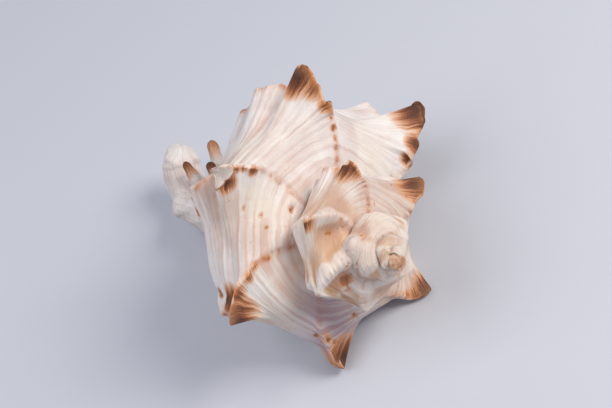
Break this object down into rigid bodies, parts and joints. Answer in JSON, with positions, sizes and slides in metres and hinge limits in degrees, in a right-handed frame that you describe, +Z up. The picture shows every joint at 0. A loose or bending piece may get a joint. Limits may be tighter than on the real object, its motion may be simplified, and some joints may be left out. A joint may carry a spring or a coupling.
{
  "type": "murex shell",
  "caption": "Spiny sea snail shell lying mouth down: a low coiled spire, flared ridges with hollow shoulder spines, a curved canal below and an oval mouth underneath.",
  "frame": {"origin": "centre of the bounding box, on the surface that the shell lies on", "axes": "+Z up from the surface it lies on, +Y from the apex towards the canal, along the longest side of the box, +X to the right of that seen from above"},
  "size_m": [0.0656, 0.0828, 0.0505],
  "materials": {
    "shell": "chalky white to cream shell, orange-brown at the spine tips and varix edges, porcelain-smooth in the mouth"
  },
  "bodies": {
    "root": {"murex_shell": "shell"}
  },
  "joints": []
}
